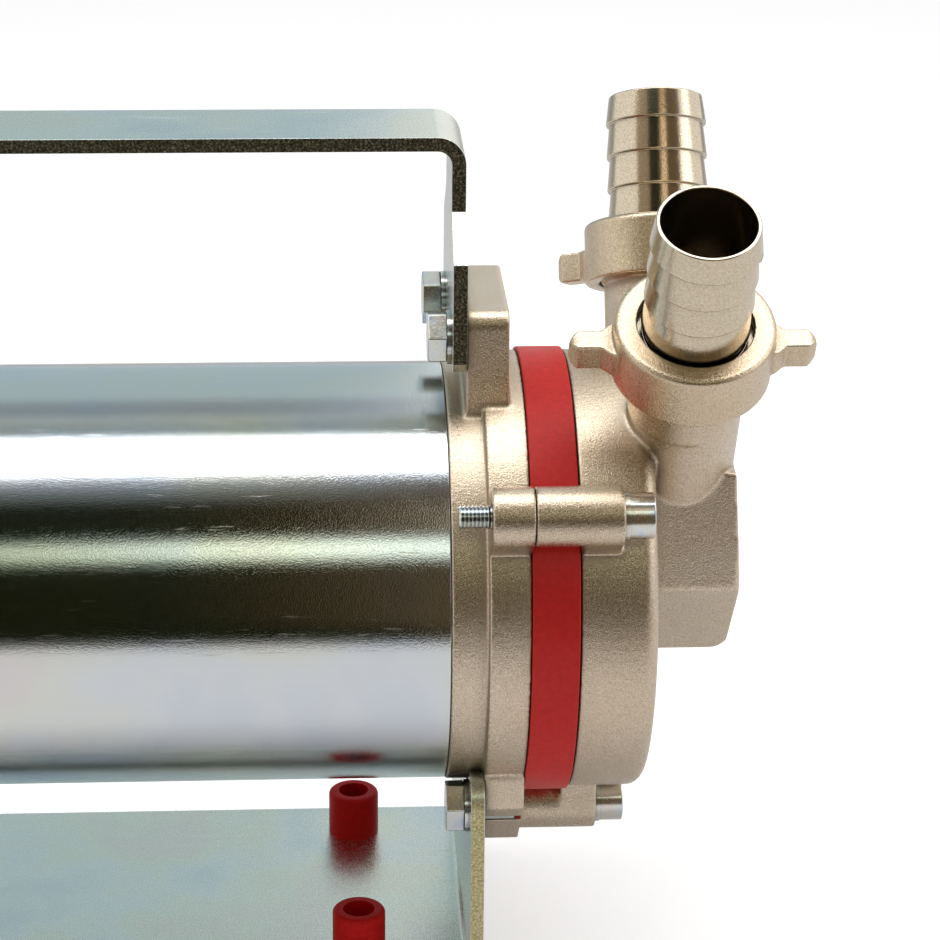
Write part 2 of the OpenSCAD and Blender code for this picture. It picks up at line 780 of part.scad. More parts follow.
// Square brass box, open towards the commutator
module brush_holders() color(brass)
    for (side = [0, 180]) on_axis(-front_x + brush_plate_t) rotate(side) difference() {
        translate([holder_start, -brush_h / 2 - slide_fit - holder_wall, 0])
            cube([spring_end + holder_wall - holder_start,
                  brush_h + 2 * (slide_fit + holder_wall), holder_len]);
        translate([holder_start - overrun, -brush_h / 2 - slide_fit, holder_wall])
            cube([spring_end - holder_start + overrun, brush_h + 2 * slide_fit,
                  brush_w + 2 * slide_fit]);
    }

// Carbon block with a face hollowed to the commutator; turn 180 is the near side
module brush(turn) on_axis(brush_x + slide_fit) rotate(turn) difference() {
    translate([0, -brush_h / 2, 0]) cube([brush_end, brush_h, brush_w]);
    translate([0, 0, -overrun]) cylinder(r = brush_start, h = brush_w + 2 * overrun);
}

module near_brush() color(carbon) brush(180);
module far_brush() color(carbon) brush(0);

// Space that a coil spring takes behind a brush
module brush_spring(turn) on_axis(brush_x + slide_fit + brush_w / 2) rotate(turn)
    translate([brush_end, 0, 0]) rotate([0, 90, 0])
        ring(brush_spring_d, brush_spring_d - 2 * brush_spring_wire, brush_spring_len);

module near_brush_spring() color(steel) brush_spring(180);
module far_brush_spring() color(steel) brush_spring(0);

// Puts its children on the axis of the cable gland, pointing away from the rear cap
module on_gland(x) mirror([1, 0, 0]) on_axis(x) translate([gland_y, gland_z, 0]) children();

module cable_gland() color(nickel) difference() {
    union() {
        on_gland(gland_x - gland_grip) cylinder(d = gland_d, h = gland_grip + overrun);
        on_gland(gland_x) rotate(gland_angle) hexagon(gland_af, gland_hex_t);
        on_gland(gland_x) cylinder(d = gland_d, h = gland_hex_t + gland_neck);
    }
    on_gland(gland_x - gland_grip - overrun)
        cylinder(d = gland_bore, h = gland_grip + gland_hex_t + gland_neck + 2 * overrun);
}

module cable_gland_nut() color(nickel) difference() {
    hex_end = gland_nut_x + gland_nut_hex_t;
    union() {
        on_gland(gland_nut_x) rotate(gland_angle) hexagon(gland_af, gland_nut_hex_t);
        on_gland(hex_end) drum(gland_af / 2 - gland_dome_step, gland_dome, gland_dome / 2);
    }
    on_gland(gland_nut_x - overrun)
        cylinder(d = gland_d + 2 * slide_fit, h = gland_seal_x - gland_nut_x + overrun + slide_fit);
    on_gland(gland_nut_x) cylinder(d = cable_d + 2 * loose_fit, h = gland_nut_hex_t + gland_dome + overrun);
}

// Rubber sleeve in the mouth of the gland
module cable_gland_seal() color(rubber_black)
    on_gland(gland_seal_x - gland_seal_t) ring(gland_bore - 2 * slide_fit, cable_d, gland_seal_t);

// Outline of the three screw bosses; with a root they are joined to the round casting
module boss_outline(root, grow) {
    for (a = boss_angles) rotate(a) {
        translate([boss_r, 0]) circle(d = boss_d + 2 * grow);
        if (root) translate([channel_r, -boss_d / 2 - grow])
            square([boss_r - channel_r, boss_d + 2 * grow]);
    }
}

module boss_holes(x, h, d) {
    for (a = boss_angles) on_axis(x) rotate(a) translate([boss_r, 0, 0]) cylinder(d = d, h = h);
}

module pump_body() color(nickel) difference() {
    union() {
        flange_and_lugs();
        on_axis(body_x) cylinder(d = body_d, h = body_t);
        on_axis(body_x) linear_extrude(body_t) boss_outline(true, 0);
        on_axis(joint_x) cylinder(d = face_d, h = face_h);
    }
    // Hollow around the bearing housing on the motor side
    on_axis(front_x - spigot_len - overrun)
        ring(2 * spigot_ri, 2 * housing_r, spigot_len + flange_t + pocket_deep + overrun);
    // Seat of the front bearing, passage of the shaft and seat of the seal
    on_axis(front_x - bearing_w - overrun) cylinder(d = bearing_d + 2 * slide_fit, h = bearing_w + overrun);
    on_axis(front_x - overrun)
        cylinder(d = shaft_mid_d + 2 * loose_fit, h = face_x - front_x + 2 * overrun);
    on_axis(face_x - seal_t - side_gap) cylinder(d = seal_d + 2 * run_fit, h = seal_t + overrun);
    on_axis(face_x - channel_deep) linear_extrude(channel_deep + overrun)
        open_ring(channel_r, channel_w, channel_stop);
    on_axis(joint_x - ring_d) ring(face_d + 2 * (ring_d + 2 * slide_fit), face_d, ring_d + overrun);
    boss_holes(body_x - overrun, body_t + 2 * overrun, screw_d + 2 * slide_fit);
    for (side = [-1, 1]) on_axis(front_x - spigot_len - overrun) translate([0, side * through_r, 0])
        cylinder(d = through_d + 2 * slide_fit, h = through_grip + 2 * overrun);
    lug_holes();
}

// Lip seal around the shaft
module shaft_seal() color(rubber_black)
    on_axis(face_x - seal_t - side_gap) ring(seal_d, shaft_d + 2 * run_fit, seal_t);

module impeller() color(brass) difference() {
    on_axis(impeller_x) {
        cylinder(d = hub_d, h = impeller_w);
        translate([0, 0, (impeller_w - web_t) / 2]) cylinder(r = channel_r, h = web_t);
        for (k = [0 : blades - 1]) rotate(k * 360 / blades)
            translate([shaft_d, -blade_t / 2, 0])
                cube([impeller_d / 2 - shaft_d, blade_t, impeller_w]);
    }
    on_axis(impeller_x - overrun) cylinder(d = shaft_d + 2 * run_fit, h = impeller_w + 2 * overrun);
    key_place(slide_fit);
}

module impeller_key() color(steel) key_place(0);

// Round rubber ring in the groove between body and cover
module body_seal_ring() color(rubber_black)
    on_axis(joint_x - ring_d / 2) rotate_extrude()
        translate([(face_d + ring_d) / 2 + slide_fit, 0]) circle(d = ring_d);

module red_band() color(red)
    on_axis(joint_x) ring(2 * band_r, 2 * (band_ri + slide_fit), band_w - slide_fit);

// Side outline of the manifold, looking along the shaft
module manifold_outline() {
    half = manifold_w / 2;
    foot = manifold_foot_w / 2;
    polygon([[manifold_draft - half, manifold_top], [-half, manifold_fold], [-foot, -manifold_drop],
             [foot, -manifold_drop], [half, manifold_fold], [half - manifold_draft, manifold_top]]);
}

module manifold() intersection() {
    depth = port_set + manifold_t;
    front = cover_x + manifold_t;
    on_axis(cover_x - port_set) linear_extrude(depth) manifold_outline();
    // Seen from above, with rounded upright front edges
    translate([0, 0, shaft_h - manifold_drop]) rotate(-90) linear_extrude(manifold_top + manifold_drop)
        arch(manifold_w / 2, cover_x - port_set, front, manifold_round);
    // Seen from the side, with a rounded bottom front edge
    translate([0, manifold_w / 2, 0]) rotate([90, 0, 0]) linear_extrude(manifold_w) {
        low = shaft_h - manifold_drop;
        r = manifold_low_round;
        translate([cover_x - port_set, low]) square([depth - r, manifold_fold + manifold_drop]);
        translate([cover_x - port_set, low + r]) square([depth, manifold_fold + manifold_drop - r]);
        translate([cover_x - port_set, shaft_h]) polygon([[0, manifold_fold], [depth, manifold_fold],
            [depth - manifold_draft, manifold_top], [0, manifold_top]]);
        translate([front - r, low + r]) circle(r);
    }
}

// Neck, cast pad and threaded stub of one port
module port_outside(side) {
    pad_r = neck_d / 2 + pad_rise;
    on_port(side, passage_turn - passage_d / 2)
        cylinder(d = neck_d, h = stub_reach - passage_turn + passage_d / 2);
    on_port(side, stub_reach - stub_thread_h) cylinder(r = stub_r, h = stub_thread_h);
    intersection() {
        on_port(side, nut_bottom - pad_len) cylinder(r = pad_r, h = pad_len + overrun);
        on_port(side, nut_bottom - pad_len)
            translate([-pad_r, side > 0 ? -pad_r : 0, 0])
                cube([pad_r + pad_reach, pad_r, pad_len + overrun]);
    }
}

module port_inside(side) {
    wide_l = stub_reach - port_bore_deep;
    on_port(side, wide_l) cylinder(d = port_bore, h = port_bore_deep + overrun);
    on_port(side, passage_turn - passage_d / 2)
        cylinder(d = passage_d, h = wide_l - passage_turn + passage_d / 2 + overrun);
    on_axis(chamber_x - overrun)
        translate([-side * passage_turn * sin(port_lean), port_lift + passage_turn * cos(port_lean), 0])
            cylinder(d = passage_hole_d, h = port_x - chamber_x + overrun);
}

module pump_cover() color(nickel) difference() {
    union() {
        difference() {
            on_axis(joint_x) drum(body_d / 2, cover_t, cover_round);
            on_axis(joint_x - overrun) ring(2 * band_r + overrun, 2 * band_ri, band_w + overrun);
        }
        on_axis(joint_x + band_w) linear_extrude(boss_len - band_w) boss_outline(true, 0);
        on_axis(joint_x) linear_extrude(boss_len) boss_outline(false, 0);
        manifold();
        for (side = [-1, 1]) port_outside(side);
    }
    on_axis(joint_x - overrun) cylinder(d = face_d + 2 * slide_fit, h = face_h + slide_fit + overrun);
    on_axis(joint_x) cylinder(d = chamber_d, h = chamber_x - joint_x);
    on_axis(chamber_x - overrun) linear_extrude(channel_deep + overrun)
        open_ring(channel_r, channel_w, channel_stop);
    boss_holes(joint_x - overrun, boss_len + 2 * overrun, screw_d + 2 * loose_fit);
    for (side = [-1, 1]) port_inside(side);
}

// Socket head screw whose thread stands out behind the body
module body_screws() color(zinc)
    for (a = boss_angles) on_axis(screw_start) rotate(a) translate([boss_r, 0, 0]) {
        shank = washer_x + screw_washer_t - screw_start;
        turns = floor(screw_tail / screw_pitch);
        root_r = screw_d / 2 - screw_pitch / 2;
        translate([0, 0, turns * screw_pitch]) cylinder(d = screw_d, h = shank - turns * screw_pitch);
        rotate_extrude() polygon(concat([[0, 0]],
            [for (k = [0 : turns - 1]) each [[root_r, k * screw_pitch],
                                             [screw_d / 2, (k + 1 / 2) * screw_pitch]]],
            [[root_r, turns * screw_pitch], [0, turns * screw_pitch]]));
        translate([0, 0, shank]) difference() {
            drum(screw_head_d / 2, screw_head_h, screw_pitch / 2);
            translate([0, 0, screw_head_h / 2]) hexagon(socket_af, screw_head_h);
        }
    }

module body_screw_washers() color(zinc)
    for (a = boss_angles) on_axis(washer_x) rotate(a) translate([boss_r, 0, 0])
        ring(screw_washer_d, screw_d + 2 * slide_fit, screw_washer_t);

module port_gaskets() color(rubber_black)
    for (side = [-1, 1]) on_port(side, stub_reach)
        ring(collar_d, port_bore + 2 * loose_fit, gasket_t);

// Turned hose tail with saw-tooth barbs that point back to its collar
module hose_tail(side) on_port(side, collar_l) rotate_extrude() {
    base = nut_top - collar_l;
    end = tail_top - collar_l;
    polygon(concat(
        [[port_bore / 2, 0], [collar_d / 2, 0], [collar_d / 2, collar_t], [barb_root_d / 2, collar_t]],
        [for (k = [0 : barb_count - 1]) each [
            [barb_root_d / 2, base + k * barb_pitch], [barb_d / 2, base + k * barb_pitch]]],
        [[tip_d / 2, end], [port_bore / 2, end]]));
}

module near_hose_tail() color(nickel) hose_tail(1);
module far_hose_tail() color(nickel) hose_tail(-1);

// One wing, pointing along X, rounded at its tip in both views
module wing() intersection() {
    root = nut_d / 2 - nut_lip;
    reach = wing_span / 2;
    translate([0, wing_root_t / 2, 0]) rotate([90, 0, 0]) linear_extrude(wing_root_t) {
        translate([root, -wing_h / 2]) square([reach - wing_round - root, wing_h]);
        translate([root, -wing_h / 2 + wing_round]) square([reach - root, wing_h - 2 * wing_round]);
        for (z = [-1, 1]) translate([reach - wing_round, z * (wing_h / 2 - wing_round)])
            circle(wing_round);
    }
    translate([0, 0, -wing_h / 2]) linear_extrude(wing_h) union() {
        slim = nut_d / 2 + wing_t / 2;
        polygon([[root, -wing_root_t / 2], [nut_d / 2, -wing_root_t / 2], [slim, -wing_t / 2],
                 [reach - wing_round, -wing_t / 2], [reach, -wing_t / 2 + wing_round],
                 [reach, wing_t / 2 - wing_round], [reach - wing_round, wing_t / 2],
                 [slim, wing_t / 2], [nut_d / 2, wing_root_t / 2], [root, wing_root_t / 2]]);
    }
}

module wing_nut(side, first_turn) difference() {
    union() {
        on_port(side, nut_bottom) drum(nut_d / 2, nut_top - nut_bottom, nut_round);
        on_port(side, wing_mid) for (turn = [0, 180]) rotate(turn - first_turn) wing();
    }
    on_port(side, nut_bottom - overrun) cylinder(r = stub_r + slide_fit, h = lip_l - nut_bottom + overrun);
    on_port(side, nut_bottom) cylinder(d = nut_mouth_d, h = nut_top - nut_bottom + overrun);
}

module near_wing_nut() color(nickel) wing_nut(1, 0);
module far_wing_nut() color(nickel) wing_nut(-1, far_nut_turn);

// Bent strip whose legs widen into feet at both ends of the motor
module carry_handle() color(zinc) difference() {
    intersection() {
        translate([0, handle_foot_w / 2, shaft_h]) rotate([90, 0, 0]) linear_extrude(handle_foot_w)
            difference() {
                arch(leg_x, handle_low, handle_top, handle_bend + strip_t);
                arch(leg_x - strip_t, handle_low - overrun, handle_top - strip_t, handle_bend);
            }
        on_axis(-leg_x) linear_extrude(2 * leg_x) {
            slope = (handle_foot_w - strip_w) / 2;
            half = handle_foot_w / 2;
            polygon([[-half, handle_low + handle_round], [-half + handle_round, handle_low],
                     [half - handle_round, handle_low], [half, handle_low + handle_round],
                     [half, handle_shoulder], [half - slope, handle_shoulder + handle_slope_h],
                     [half - slope, handle_top], [-half + slope, handle_top],
                     [-half + slope, handle_shoulder + handle_slope_h], [-half, handle_shoulder]]);
        }
    }
    for (side = [-1, 1]) on_axis(-leg_x - overrun)
        translate([side * handle_bolt_gap / 2, handle_bolt_h, 0])
            cylinder(d = bolt_d + 2 * slide_fit, h = 2 * (leg_x + overrun));
}

// Bolt whose washer lies against a plate with its inner face at x
module hex_bolt(x, y, z, grip, turn) on_axis(x - washer_t) translate([y, z, 0]) {
    cylinder(d = bolt_d, h = washer_t + grip);
    mirror([0, 0, 1]) rotate(turn) hexagon(bolt_af, bolt_head_h);
}

module bolt_washer(x, y, z) on_axis(x - washer_t) translate([y, z, 0])
    ring(washer_d, bolt_d + 2 * slide_fit, washer_t);

module handle_bolts() color(zinc)
    both_ends() for (side = [-1, 1])
        hex_bolt(leg_x - strip_t, side * handle_bolt_gap / 2, handle_bolt_h,
                 strip_t + bolt_grip, side * bolt_turn);

module handle_washers() color(zinc)
    both_ends() for (side = [-1, 1])
        bolt_washer(leg_x - strip_t, side * handle_bolt_gap / 2, handle_bolt_h);

// Folded sheet with an upright end at each casting, hollowed to the flange
module base_plate() color(zinc) difference() {
    intersection() {
        translate([0, base_w / 2, 0]) rotate([90, 0, 0]) linear_extrude(base_w) mirror([0, 1])
            difference() {
                arch(upright_x, upright_drop - shaft_h, base_t - base_top, base_bend + base_t);
                arch(upright_x - base_t, upright_drop - shaft_h - overrun, -base_top, base_bend);
            }
        on_axis(-upright_x) linear_extrude(2 * upright_x)
            arch(base_w / 2, base_top - base_t - shaft_h, -upright_drop, upright_round);
    }
    on_axis(-upright_x - overrun) cylinder(r = flange_d / 2 + loose_fit, h = 2 * (upright_x + overrun));
    for (side = [-1, 1]) on_axis(-upright_x - overrun)
        translate([side * base_bolt_gap / 2, -base_bolt_drop, 0])
            cylinder(d = bolt_d + 2 * slide_fit, h = 2 * (upright_x + overrun));
    // Room for the tail of the lowest body screw
    on_axis(-upright_x - overrun) rotate(boss_angles[1]) translate([boss_r, 0, 0])
        cylinder(d = screw_head_d + 2 * loose_fit, h = 2 * (upright_x + overrun));
    for (x = [-1, 1], y = [-1, 1])
        translate([x * foot_gap_x / 2, y * foot_gap_y / 2, base_top - base_t - overrun])
            cylinder(d = foot_neck_d + 2 * slide_fit, h = base_t + 2 * overrun);
}

module base_bolts() color(zinc)
    both_ends() for (side = [-1, 1])
        hex_bolt(upright_x - base_t, side * base_bolt_gap / 2, -base_bolt_drop,
                 base_t + bolt_grip, side * bolt_turn);

module base_washers() color(zinc)
    both_ends() for (side = [-1, 1])
        bolt_washer(upright_x - base_t, side * base_bolt_gap / 2, -base_bolt_drop);

// Hollow rubber foot that snaps into its hole in the base
module rubber_foot() difference() {
    union() {
        pad_h = base_top - base_t;
        translate([0, 0, pad_h]) mirror([0, 0, 1]) drum(foot_pad_d / 2, pad_h, foot_round);
        cylinder(d = foot_neck_d, h = base_top);
        translate([0, 0, base_top]) drum(foot_d / 2, foot_rise, foot_round);
    }
    translate([0, 0, -overrun]) cylinder(d = foot_bore, h = base_top + foot_rise + 2 * overrun);
}

module rubber_feet() color(red)
    for (x = [-1, 1], y = [-1, 1]) translate([x * foot_gap_x / 2, y * foot_gap_y / 2, 0])
        rubber_foot();

motor_tube();
field_magnets();
through_bolts();
rear_end_cap();
rear_bearing_outer_ring();
rear_bearing_balls();
rear_bearing_inner_ring();
front_bearing_outer_ring();
front_bearing_balls();
front_bearing_inner_ring();
shaft();
armature_core();
armature_windings();
commutator();
brush_plate();
brush_plate_screws();
brush_holders();
near_brush();
far_brush();
near_brush_spring();
far_brush_spring();
cable_gland();
cable_gland_nut();
cable_gland_seal();
pump_body();
shaft_seal();
impeller();
impeller_key();
body_seal_ring();
red_band();
pump_cover();
body_screws();
body_screw_washers();
port_gaskets();
near_hose_tail();
near_wing_nut();
far_hose_tail();
far_wing_nut();
carry_handle();
handle_bolts();
handle_washers();
base_plate();
base_bolts();
base_washers();
rubber_feet();
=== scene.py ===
import bpy
import bmesh
import math
from mathutils import Matrix, Vector


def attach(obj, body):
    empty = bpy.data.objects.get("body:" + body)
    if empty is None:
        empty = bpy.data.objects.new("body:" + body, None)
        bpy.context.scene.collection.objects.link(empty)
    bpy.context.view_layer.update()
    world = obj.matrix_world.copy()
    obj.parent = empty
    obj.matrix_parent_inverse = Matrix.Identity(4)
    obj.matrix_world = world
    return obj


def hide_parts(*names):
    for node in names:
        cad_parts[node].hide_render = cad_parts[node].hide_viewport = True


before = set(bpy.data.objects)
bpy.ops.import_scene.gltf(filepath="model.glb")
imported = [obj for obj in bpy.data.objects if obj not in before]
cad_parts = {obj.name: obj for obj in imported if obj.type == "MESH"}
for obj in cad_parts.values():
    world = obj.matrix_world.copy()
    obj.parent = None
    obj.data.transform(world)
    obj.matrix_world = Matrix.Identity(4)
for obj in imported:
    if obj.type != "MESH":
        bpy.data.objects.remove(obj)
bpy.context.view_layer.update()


# Studio: a wide sheet of pale board under a white room, lit from above.
# The boards that only mirrors see stand where the dark end of a studio is,
# so that polished metal shows the dark bands that it has in a real one.
mm = 0.001
lens_mm = 118.08
film_mm = 36.0
camera_place = Vector((0.0387, -0.6222, 0.3607))
camera_pitch = 0.378
camera_yaw = 0.06
camera_roll = 0.011
floor_half = 4.0
floor_glow = 0.5
floor_in_mirrors = 0.1
air_strength = 0.34
softbox_height = 1.05
softbox_target = (0.05, 0.03, 0.1)


def add(tree, kind, inputs=None, **settings):
    """Puts one node into a tree; an input is a plain value or another node's output."""
    made = tree.nodes.new("ShaderNode" + kind)
    for name, value in settings.items():
        setattr(made, name, value)
    for name, value in (inputs or {}).items():
        if isinstance(value, bpy.types.NodeSocket):
            tree.links.new(value, made.inputs[name])
        else:
            made.inputs[name].default_value = value
    return made


def calc(tree, operation, first, second=0.0, clamp=False):
    """One sum on two values or outputs."""
    return add(tree, "Math", {0: first, 1: second}, operation=operation, use_clamp=clamp).outputs[0]


def mesh_piece(name, points, faces, smooth=False):
    """A new mesh object from corner points and faces."""
    mesh = bpy.data.meshes.new(name)
    mesh.from_pydata([tuple(p) for p in points], [], faces)
    mesh.validate()
    for face in mesh.polygons:
        face.use_smooth = smooth
    piece = bpy.data.objects.new(name, mesh)
    bpy.context.scene.collection.objects.link(piece)
    return piece


scene = bpy.context.scene
scene.view_settings.view_transform = "Standard"

world = bpy.data.worlds.new("studio_air")
scene.world = world
world.use_nodes = True
air = world.node_tree
air.nodes.clear()
rays = add(air, "LightPath")
seen = calc(air, "ADD", rays.outputs["Is Camera Ray"], rays.outputs["Is Glossy Ray"], True)
seen = calc(air, "ADD", seen, rays.outputs["Is Transmission Ray"], True)
seen = calc(air, "MULTIPLY", seen, 1.0 - air_strength)
glow = add(air, "Background", {"Color": (1, 1, 1, 1), "Strength": calc(air, "ADD", seen, air_strength)})
air.links.new(glow.outputs[0], add(air, "OutputWorld").inputs["Surface"])

board = mesh_piece("studio_floor", [(-floor_half, -floor_half, 0), (floor_half, -floor_half, 0),
                                    (floor_half, floor_half, 0), (-floor_half, floor_half, 0)],
                   [(0, 1, 2, 3)])
paper = bpy.data.materials.new("pale_board")
paper.use_nodes = True
tree = paper.node_tree
shader = tree.nodes["Principled BSDF"]
fibre = add(tree, "TexNoise", {"Scale": 60.0, "Detail": 3.0}).outputs[0]
tone = add(tree, "ValToRGB", {"Fac": fibre})
tone.color_ramp.elements[0].color = (0.86, 0.855, 0.86, 1)
tone.color_ramp.elements[1].color = (0.90, 0.895, 0.90, 1)
tree.links.new(tone.outputs["Color"], shader.inputs["Base Color"])
shader.inputs["Roughness"].default_value = 0.9
shader.inputs["Specular IOR Level"].default_value = 0.0
rays = add(tree, "LightPath")
mirrored = calc(tree, "MULTIPLY", rays.outputs["Is Glossy Ray"], floor_in_mirrors)
seen = calc(tree, "ADD", rays.outputs["Is Camera Ray"], mirrored, True)
seen = calc(tree, "ADD", seen, rays.outputs["Is Transmission Ray"], True)
shader.inputs["Emission Color"].default_value = (1, 1, 1, 1)
tree.links.new(calc(tree, "MULTIPLY", seen, floor_glow), shader.inputs["Emission Strength"])
board.data.materials.append(paper)


def softbox(name, place, target, width, height, brightness):
    """A flat lamp at place, turned to target, as bright as a white board of that value."""
    lamp = bpy.data.lights.new(name, "AREA")
    lamp.shape = "RECTANGLE"
    lamp.size = width
    lamp.size_y = height
    lamp.energy = brightness * math.pi * width * height
    holder = bpy.data.objects.new(name, lamp)
    scene.collection.objects.link(holder)
    holder.location = place
    holder.rotation_mode = "QUATERNION"
    holder.rotation_quaternion = (Vector(target) - Vector(place)).to_track_quat("-Z", "Y")
    holder.visible_camera = False


softbox("overhead_softbox", (0.05, 0.03, softbox_height), softbox_target, 1.7, 0.50, 2.9)
softbox("side_softbox", (1.3, -0.2, 0.7), (0.05, 0.0, 0.1), 0.7, 0.5, 1.2)


def mirror_board(name, outline, width, middle, colour):
    """A bent board along X that only mirrors see, from the (y, z) outline of its section."""
    points = [(middle + side * width / 2, y, z) for y, z in outline for side in (-1, 1)]
    faces = [(2 * i, 2 * i + 1, 2 * i + 3, 2 * i + 2) for i in range(len(outline) - 1)]
    piece = mesh_piece(name, points, faces)
    look = bpy.data.materials.new(name)
    look.use_nodes = True
    nodes = look.node_tree
    nodes.nodes.clear()
    glow = add(nodes, "Emission", {"Color": (*colour, 1), "Strength": 1.0})
    nodes.links.new(glow.outputs[0], add(nodes, "OutputMaterial").inputs["Surface"])
    piece.data.materials.append(look)
    for flag in ("visible_camera", "visible_diffuse", "visible_shadow", "visible_transmission"):
        setattr(piece, flag, False)


def at_rise(angle, reach):
    """The (y, z) point in front of the motor that lies at this angle above the level of its axis."""
    return (-reach * math.cos(math.radians(angle)), 0.09 + reach * math.sin(math.radians(angle)))


# the unlit end of the room in front, strips of light on it, its lit upper edge, and the back wall
wall_reach = 1.5
strip_reach = 1.45
window_reach = 1.42
along_tube = (0.60, -0.20)
behind_tube = (1.74, -0.73)
room_end = [(-0.34, 0.002), (-1.4, 0.002)] + [at_rise(a, wall_reach) for a in range(2, 76, 6)]
room_lip = [at_rise(a, strip_reach) for a in (61, 67, 74)]
back_wall = [at_rise(a, wall_reach) for a in range(99, 184, 5)]
room_strip = [at_rise(a, strip_reach) for a in (29, 32, 35, 38)]
cool_window = [at_rise(a, window_reach) for a in (30, 33, 36, 39)]
warm_window = [at_rise(a, window_reach) for a in (42, 51, 60)]
mirror_board("left_room", room_end, 1.1, -1.05, (0.34, 0.28, 0.20))
mirror_board("dark_room", room_end, *along_tube, (0.009, 0.011, 0.004))
mirror_board("dim_room", room_end, 1.50, 0.85, (0.13, 0.09, 0.05))
mirror_board("room_gleam", room_strip, *along_tube, (0.58, 0.66, 0.44))
mirror_board("window_gleam", cool_window, 0.6, 0.24, (1.5, 1.6, 1.3))
mirror_board("warm_window", warm_window, 0.30, 0.36, (1.0, 0.80, 0.56))
mirror_board("lip_shade", room_lip[:2], *along_tube, (0.13, 0.14, 0.12))
mirror_board("lip_light", room_lip[1:], *along_tube, (0.30, 0.32, 0.33))
mirror_board("back_shade", back_wall[:7], *behind_tube, (0.29, 0.34, 0.37))
mirror_board("back_wall", back_wall[6:], *behind_tube, (0.46, 0.56, 0.59))

camera_data = bpy.data.cameras.new("photo_camera")
camera_data.sensor_width = film_mm
camera_data.lens = lens_mm
camera_data.clip_start = 0.01
camera_data.clip_end = 20.0
camera = bpy.data.objects.new("photo_camera", camera_data)
scene.collection.objects.link(camera)
scene.camera = camera
ahead = Vector((math.sin(camera_yaw) * math.cos(camera_pitch),
                math.cos(camera_yaw) * math.cos(camera_pitch), -math.sin(camera_pitch)))
across = Vector((math.cos(camera_yaw), -math.sin(camera_yaw), 0))
up = across.cross(ahead)
turned = across * math.cos(camera_roll) + up * math.sin(camera_roll)
upright = -across * math.sin(camera_roll) + up * math.cos(camera_roll)
facing = Matrix((turned, upright, -ahead)).transposed().to_4x4()
camera.matrix_world = Matrix.Translation(camera_place) @ facing


# Motor tube: a rolled steel tube, zinc-plated and passivated, 91.5 mm across.
# The plating is bright and mirror-like along the tube, with cloudy tints and
# the fine scratches of packing and handling.
def start_group(name, inputs, outputs):
    """An empty shader node group with named inputs and outputs."""
    tree = bpy.data.node_groups.new(name, "ShaderNodeTree")
    for title, value in inputs.items():
        kind = "NodeSocketColor" if isinstance(value, tuple) else "NodeSocketFloat"
        tree.interface.new_socket(title, in_out="INPUT", socket_type=kind).default_value = value
    for title, kind in outputs.items():
        tree.interface.new_socket(title, in_out="OUTPUT", socket_type="NodeSocket" + kind)
    return tree, tree.nodes.new("NodeGroupInput").outputs, tree.nodes.new("NodeGroupOutput").inputs


def use(tree, group, **values):
    """Places a node group in a material with its own values."""
    made = tree.nodes.new("ShaderNodeGroup")
    made.node_tree = group
    for title, value in values.items():
        made.inputs[title].default_value = value
    return made.outputs


def ramp(tree, value, stops):
    """A colour that follows value through the stops."""
    made = add(tree, "ValToRGB", {"Fac": value})
    elements = made.color_ramp.elements
    while len(elements) < len(stops):
        elements.new(0.5)
    for element, (place, colour) in zip(elements, stops):
        element.position = place
        element.color = (*colour, 1) if isinstance(colour, tuple) else (colour, colour, colour, 1)
    return made.outputs["Color"]


def mix(tree, share, first, second):
    """A colour between two colours."""
    made = add(tree, "Mix", data_type="RGBA")
    for index, value in ((0, share), (6, first), (7, second)):
        if isinstance(value, bpy.types.NodeSocket):
            tree.links.new(value, made.inputs[index])
        else:
            made.inputs[index].default_value = value if index == 0 else (*value, 1)
    return made.outputs[2]


def spread(tree, value, low, high, new_low=0.0, new_high=1.0):
    """Brings a value from one range to another and keeps it inside."""
    return add(tree, "MapRange", {"Value": value, "From Min": low, "From Max": high,
                                  "To Min": new_low, "To Max": new_high}).outputs[0]


def start_material(name, metallic, roughness):
    """A new material, its tree and its main shader."""
    material = bpy.data.materials.new(name)
    material.use_nodes = True
    shader = material.node_tree.nodes["Principled BSDF"]
    shader.inputs["Metallic"].default_value = metallic
    shader.inputs["Roughness"].default_value = roughness
    return material, material.node_tree, shader


def relief(tree, shader, height, depth):
    """Bump of a depth in metres."""
    bump = add(tree, "Bump", {"Height": height, "Distance": depth, "Strength": 1.0})
    tree.links.new(bump.outputs[0], shader.inputs["Normal"])


def coat(material, *names):
    """Gives CAD nodes their material."""
    for name in names:
        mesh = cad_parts[name].data
        mesh.materials.clear()
        mesh.materials.append(material)


usual_ease = 0.0003
ease_angle = math.radians(28)
flat_angle = math.radians(0.6)
weld_gap = 0.000002


def ease(name, width=usual_ease):
    """Breaks the sharp edges of a CAD node, as its real piece has them."""
    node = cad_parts[name]
    mesh = node.data
    if "custom_normal" in mesh.attributes:
        mesh.attributes.remove(mesh.attributes["custom_normal"])
    for face in mesh.polygons:
        face.use_smooth = True
    weld = node.modifiers.new("joined", "WELD")
    weld.merge_threshold = weld_gap
    plain = node.modifiers.new("plain", "DECIMATE")
    plain.decimate_type = "DISSOLVE"
    plain.angle_limit = flat_angle
    bevel = node.modifiers.new("eased", "BEVEL")
    bevel.width = width
    bevel.segments = 2
    bevel.limit_method = "ANGLE"
    bevel.angle_limit = ease_angle
    bevel.harden_normals = True
    bevel.use_clamp_overlap = True


